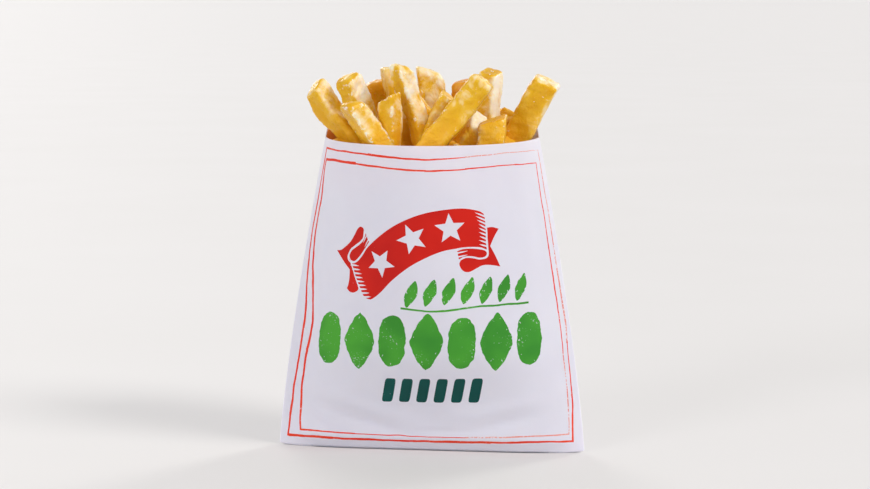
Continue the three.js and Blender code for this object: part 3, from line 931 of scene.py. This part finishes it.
def low_places():
    """A number for its draws, x and y of each low fry: a staggered grid made uneven."""
    index = 0
    for y in np.arange(-LOW_SPAN_Y, LOW_SPAN_Y, LOW_STEP_Y):
        for x in np.arange(-LOW_SPAN_X, LOW_SPAN_X, LOW_STEP_X):
            index += 1
            stagger = LOW_STEP_X / 2 if int(round(y / LOW_STEP_Y)) % 2 else 0
            x_there = x + LOW_SHIFT * drawn(index, 31) + stagger
            y_there = y + LOW_SHIFT * drawn(index, 32)
            if (x_there / LOW_REACH_X) ** 2 + (y_there / LOW_REACH_Y) ** 2 <= 1:
                yield index, x_there, y_there


def low_fries():
    """Short fries between the taller ones, so that the heap is full to the rim."""
    made = []
    for index, x, y in low_places():
        top = LOW_TOP + LOW_TOP_SPREAD * drawn(index, 33)
        lean_x, lean_y = LOW_LEAN * drawn(index, 34), LOW_LEAN * drawn(index, 35)
        x, y = x + lean_x * (top - MOUTH_LEVEL), y + lean_y * (top - MOUTH_LEVEL)
        tip = (x + lean_x * LOW_RISE, y + lean_y * LOW_RISE, MOUTH_LEVEL + LOW_RISE)
        row = (x, y, *tip, LOW_SIZE, LOW_SIZE, TURN_SPREAD * drawn(index, 36), *LOW_SLANTS)
        number = 60 + len(made)
        points, faces, values = fry(row, number, random_look(number), *LOW_DETAIL, LOW_ROOT)
        made.append((points - (0, 0, MOUTH_LEVEL + LOW_RISE - top), faces, values))
    return made


CORE_COLUMNS, CORE_LEVELS, CORE_BOTTOM = 40, 24, FLOOR + 0.5
# How much further from the paper it is than in the part, how much more at its foot, and up to where
CORE_GAP, CORE_FOOT_GAP, CORE_FOOT = 1, 1.2, 7
CORE_TOP_RINGS = (0.92, 0.82, 0.7, 0.56, 0.42, 0.28, 0.14, 0)
CORE_BUMP, CORE_BUMP_SIZE = 0.5, 6
# depth 1 gives the core the painted shade and painted bounce light of the fries' lowest parts
CORE_LOOK = {"ridge": 0, "crisp_and_glint": 0, "brown": 0.5, "tone_and_painted_sheen": 0.1, "depth": 1}


def heap_core(material):
    """What fills the bag under the fries."""
    columns = np.linspace(-HALF_PANEL, HALF_PANEL, CORE_COLUMNS)
    edge = CORE_TOP - CORE_DOME
    rings = []
    for z in np.linspace(CORE_BOTTOM, edge, CORE_LEVELS):
        inset = CORE_INSET + CORE_GAP + CORE_FOOT_GAP * (1 - smooth(z / CORE_FOOT))
        front = panel(columns, np.full_like(columns, z), -1, inset)
        back = panel(columns[1:-1][::-1], np.full(CORE_COLUMNS - 2, z), 1, inset)
        rings.append(np.vstack([front, back]))
    rim = rings[-1]
    middle = np.array([0, MOUTH_SETBACK * edge / FRONT_HEIGHT, 0])
    for share in CORE_TOP_RINGS:
        top = (rim - middle) * (share, share, 0) + middle
        top[:, 2] = edge + CORE_DOME * (1 - share * share)
        top[:, 2] += CORE_BUMP * ripples(top[:, :2], CORE_BUMP_SIZE, 8) * smooth((1 - share) / 0.2)
        rings.append(top)
    faces = grid_faces(len(rings), len(rim), closed=True).tolist() + [list(range(len(rim)))[::-1]]
    points = np.vstack(rings)
    values = {key: np.full(len(points), number) for key, number in CORE_LOOK.items()}
    return make_object("heap_core", (points, faces, values), [material])


# ---- Salt ----

SALT_COUNT = 45
SALT_LEVEL = 110  # none lies lower
SALT_SIZE, SALT_SHAPE = (0.08, 0.18), (0.7, 1.3)  # half a grain's side, and how that varies
SALT_SINK = 0.6
CUBE = np.array([(x, y, z) for z in (-1, 1) for y in (-1, 1) for x in (-1, 1)], float)
CUBE_FACES = [(0, 2, 3, 1), (4, 5, 7, 6), (0, 1, 5, 4), (2, 6, 7, 3), (0, 4, 6, 2), (1, 3, 7, 5)]


def at_vertices(mesh, name):
    """The place or the normal of each vertex."""
    numbers = np.zeros(len(mesh.vertices) * 3)
    mesh.vertices.foreach_get(name, numbers)
    return numbers.reshape(-1, 3)


def salt_grains(fries, material):
    """Small crystals that lie on the fries."""
    rng = np.random.default_rng(77)
    places = at_vertices(fries.data, "co") / MM
    normals = at_vertices(fries.data, "normal")
    able = np.flatnonzero((places[:, 2] > SALT_LEVEL) & (normals[:, 2] > -0.1))
    points, faces = [], []
    for i in rng.choice(able, size=SALT_COUNT, replace=False):
        half = rng.uniform(*SALT_SIZE) * rng.uniform(*SALT_SHAPE, size=3)
        turned = np.linalg.qr(rng.normal(size=(3, 3)))[0]
        turned *= np.sign(np.linalg.det(turned))
        faces += [[len(points) * 8 + k for k in face] for face in CUBE_FACES]
        points.append((CUBE * half) @ turned.T + places[i] + normals[i] * half.min() * SALT_SINK)
    made = make_object("salt", (np.vstack(points), faces, {}), [material])
    made.data.polygons.foreach_set("use_smooth", np.zeros(len(faces), bool))
    return made


# ---- Materials ----


def linear(code):
    """The linear colour of a hexadecimal sRGB code."""
    parts = [int(code[i : i + 2], 16) / 255 for i in (1, 3, 5)]
    return tuple(p / 12.92 if p < 0.04045 else ((p + 0.055) / 1.055) ** 2.4 for p in parts) + (1.0,)


def add(tree, kind, inputs, **settings):
    """A new shader node, with its settings, and its inputs linked or set. A colour is given as a code."""
    made = tree.nodes.new(kind)
    for key, value in settings.items():
        setattr(made, key, value)
    for key, value in inputs.items():
        if isinstance(value, bpy.types.NodeSocket):
            tree.links.new(value, made.inputs[key])
        else:
            made.inputs[key].default_value = linear(value) if isinstance(value, str) else value
    return made


def mixed(tree, factor, first, second):
    """The output of a colour mix."""
    return add(tree, "ShaderNodeMix", {0: factor, 6: first, 7: second}, data_type="RGBA").outputs[2]


def ranged(tree, value, low, high, to_low=0.0, to_high=1.0):
    inputs = {"Value": value, "From Min": low, "From Max": high, "To Min": to_low, "To Max": to_high}
    return add(tree, "ShaderNodeMapRange", inputs).outputs[0]


def sums(tree, operation, first, second):
    return add(tree, "ShaderNodeMath", {0: first, 1: second}, operation=operation).outputs[0]


def noise_of(tree, place, scale, detail, roughness=0.5, distortion=0.0):
    inputs = {"Vector": place, "Scale": scale, "Detail": detail}
    inputs |= {"Roughness": roughness, "Distortion": distortion}
    return add(tree, "ShaderNodeTexNoise", inputs).outputs[0]


def number(tree, name):
    return add(tree, "ShaderNodeAttribute", {}, attribute_name=name).outputs["Fac"]


def bump(tree, height, strength, distance):
    inputs = {"Height": height, "Strength": strength, "Distance": distance}
    return add(tree, "ShaderNodeBump", inputs).outputs[0]


def weighed(tree, *terms):
    """The sum of sockets, each times its weight."""
    total = None
    for socket, weight in terms:
        part = sums(tree, "MULTIPLY", socket, weight)
        total = part if total is None else sums(tree, "ADD", total, part)
    return total


def material_of(name, look, *numbers):
    """A material. look gives the inputs of its Principled shader from the place on the object."""
    material = bpy.data.materials.new(name)
    material.use_nodes = True
    tree = material.node_tree
    tree.nodes.clear()
    place = add(tree, "ShaderNodeTexCoord", {}).outputs["Object"]
    shader = add(tree, "ShaderNodeBsdfPrincipled", look(tree, place, *numbers))
    add(tree, "ShaderNodeOutputMaterial", {0: shader.outputs[0]})
    return material


def any_paper(tree, place, colour):
    """What the bare and the inked paper share: fine fibres and a soft shine."""
    fibres = noise_of(tree, place, 900, 4, 0.65)
    soft = noise_of(tree, place, 160, 3)
    height = sums(tree, "ADD", sums(tree, "MULTIPLY", fibres, 0.6), soft)
    return {
        "Base Color": colour,
        "Roughness": ranged(tree, soft, 0.3, 0.7, 0.44, 0.56),
        "Normal": bump(tree, height, 0.1, 0.0004),
        "Specular IOR Level": 0.2,
    }


def paper_colour(tree, place):
    return mixed(tree, noise_of(tree, place, 45, 3), "#dddae6", "#e6e4ee")


def bare_paper(tree, place):
    """White paper, with the fries' reflected light painted warm on the inside of the mouth."""
    reflection_tinted = mixed(tree, number(tree, "fry_reflection"), paper_colour(tree, place), "#ffb55c")
    return any_paper(tree, place, reflection_tinted) | {
        "Subsurface Weight": 0.8,
        "Subsurface Radius": (1.0, 0.9, 0.85),
        "Subsurface Scale": 0.0006,
    }


def inked_paper(tree, place, dark, light, cover):
    """Paper under ink. The higher cover is, the less paper shows through."""
    patches = ranged(tree, noise_of(tree, place, 60, 2), 0.35, 0.65)
    ink = mixed(tree, patches, dark, light)
    worn = noise_of(tree, place, 1400, 3, 0.6)
    spread = sums(tree, "MULTIPLY", noise_of(tree, place, 120, 2), 0.5)
    bare = ranged(tree, sums(tree, "ADD", worn, spread), cover, cover + 0.12)
    return any_paper(tree, place, mixed(tree, bare, ink, paper_colour(tree, place)))


# Scale, detail, roughness and distortion of the fries' broad, patchy, blistered and fine pattern
POTATO_PATTERNS = [(85, 3, 0.55, 0.6), (230, 4, 0.6, 0.5), (620, 3, 0.55, 0.3), (1500, 2, 0.6)]


def potato_colour(tree, broad, patch, blister):
    """Gold, cream as a painted sheen where it is paler, brown in blotches, blistered white on ridges with a
    painted glint, and painted shade and painted bounce light lower down.
    """
    ridge, crisp_and_glint = number(tree, "ridge"), number(tree, "crisp_and_glint")
    brown, tone_and_painted_sheen, depth = number(tree, "brown"), number(tree, "tone_and_painted_sheen"), number(tree, "depth")
    # paleness: the painted sheen of the lit faces with random patches, lowered deeper down as painted shade
    paleness = weighed(tree, (tone_and_painted_sheen, 1), (broad, 1.4), (patch, 1.5), (ridge, 0.08), (depth, -0.1))
    gold = mixed(tree, ranged(tree, paleness, 1.35, 2.1), "#d9a204", "#ecbf20")
    # cream where paleness is high: the painted sheen of the lit faces
    colour = mixed(tree, ranged(tree, paleness, 1.85, 2.5), gold, "#faf2e2")
    # brown blotches, a little more of it deeper down as painted shade
    deep = weighed(tree, (brown, 0.8), (patch, 1), (broad, 0.3), (depth, 0.05), (tone_and_painted_sheen, -0.25))
    colour = mixed(tree, ranged(tree, deep, 0.78, 1.3, 0.0, 0.9), colour, "#d8840c")
    # lower down, a brighter warm gold painted as the light bounced up between the fries and the paper
    low = mixed(tree, ranged(tree, paleness, 1.6, 2.3), "#ffc230", "#ffe0a0")
    colour = mixed(tree, sums(tree, "MULTIPLY", depth, 0.85), colour, low)
    # white on ridges and in spots: partly blistered crust, partly a painted glint
    white = weighed(tree, (blister, 1), (crisp_and_glint, 0.2), (tone_and_painted_sheen, 0.03), (depth, -0.05))
    return mixed(tree, ranged(tree, white, 0.68, 0.82, 0.0, 0.85), colour, "#fdf7ea")


def fried_potato(tree, place):
    """Oily crust with fine bumps."""
    broad, patch, blister, fine = (noise_of(tree, place, *row) for row in POTATO_PATTERNS)
    oil = weighed(tree, (patch, 0.5), (blister, 0.5))
    height = weighed(tree, (patch, 1), (blister, 0.6), (fine, 0.15))
    return {
        "Base Color": potato_colour(tree, broad, patch, blister),
        "Roughness": ranged(tree, oil, 0.38, 0.62, 0.24, 0.46),
        "Normal": bump(tree, height, 0.75, 0.0007),
        "Specular IOR Level": 0.45,
        "Specular Tint": (1.0, 0.82, 0.4, 1.0),
        "Coat Weight": 0.15,
        "Coat Roughness": 0.16,
        "Subsurface Weight": 0.4,
        "Subsurface Radius": (1.0, 0.8, 0.15),
        "Subsurface Scale": 0.002,
    }


def mottled(tree, place, scale, detail, dark, light, roughness):
    """Something plain that varies a little between two colours."""
    colour = mixed(tree, noise_of(tree, place, scale, detail), dark, light)
    return {"Base Color": colour, "Roughness": roughness}


# ---- Camera, light and floor ----


def make_camera():
    """At the photograph's angle, with its framing."""
    data = bpy.data.cameras.new("camera")
    data.sensor_width = SENSOR_WIDTH
    data.lens = SENSOR_WIDTH * FOCAL_PIXELS / IMAGE_WIDTH
    data.shift_x = (IMAGE_WIDTH / 2 - MIDDLE_PIXEL) / IMAGE_WIDTH
    camera = in_scene("camera", data)
    x = CAMERA_DISTANCE * math.sin(CAMERA_AZIMUTH)
    y = MOUTH_SETBACK - CAMERA_DISTANCE * math.cos(CAMERA_AZIMUTH)
    camera.location = Vector((x, y, CAMERA_HEIGHT)) * MM
    camera.rotation_euler = (math.pi / 2 - CAMERA_PITCH, 0, CAMERA_AZIMUTH)
    bpy.context.scene.camera = camera


# The way that each light comes from, how wide it looks in degrees, its strength, and its colour
LAMPS = {
    "key": ((0.75, -0.35, 0.65), 20, 1.25, (1.0, 0.98, 0.96)),
    "rim": ((0.55, 0.75, 0.65), 16, 0.65, (1.0, 0.98, 0.95)),
    "back": ((-0.5, 1.0, 0.4), 26, 0.6, (1.0, 0.98, 0.95)),
    "fill": ((-0.9, -1.2, 0.5), 26, 0.65, (0.98, 0.97, 1.0)),
}
AROUND, AROUND_STRENGTH = (0.95, 0.95, 0.98, 1.0), 0.68


def make_lights():
    """Soft lights from far away, and an even light from all round."""
    for name, (place, spread, strength, colour) in LAMPS.items():
        data = bpy.data.lights.new(name, "SUN")
        data.angle = math.radians(spread)
        data.energy = strength
        data.color = colour
        lamp = in_scene(name, data)
        lamp.location = place
        lamp.rotation_euler = Vector(place).to_track_quat("Z", "Y").to_euler()
    world = bpy.data.worlds.new("studio")
    bpy.context.scene.world = world
    world.use_nodes = True
    background = world.node_tree.nodes["Background"]
    background.inputs["Color"].default_value = AROUND
    background.inputs["Strength"].default_value = AROUND_STRENGTH


def make_floor():
    corners = FLOOR_REACH * np.array([(-1, -1, 0), (1, -1, 0), (1, 1, 0), (-1, 1, 0)])
    surface = material_of("floor_surface", mottled, 6, 3, "#dad8d5", "#dedcda", 0.7)
    floor = make_object("floor", (corners, [(0, 1, 2, 3)], {}), [surface])


# ---- The scene ----


def main():
    make_camera()
    make_lights()
    make_floor()
    bpy.context.scene.view_settings.view_transform = "Standard"

    bag = paper_bag()
    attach(bag, "root")
    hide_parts("paper_bag")

    potato = material_of("potato", fried_potato)
    front = [fry(row, i, FRONT_LOOKS[i], *FRONT_DETAIL) for i, row in enumerate(FRONT_FRIES)]
    last = len(FRONT_FRIES)
    behind = [
        fry(back_fry(row, i), last + i, random_look(i), *BACK_DETAIL) for i, row in enumerate(BACK_FRIES)
    ]
    core = heap_core(potato)
    fries_front = make_object("fries_front", joined(front), [potato])
    fries_behind = make_object("fries_behind", joined(behind), [potato])
    fries_low = make_object("fries_low", joined(low_fries()), [potato])
    for piece in (core, fries_front, fries_behind, fries_low):
        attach(piece, "root")
        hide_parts("fries_heap")
    crystal = material_of("salt_crystal", mottled, 2500, 2, "#f2f0ec", "#ffffff", 0.3)
    salt = salt_grains(fries_front, crystal)
    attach(salt, "root")


main()
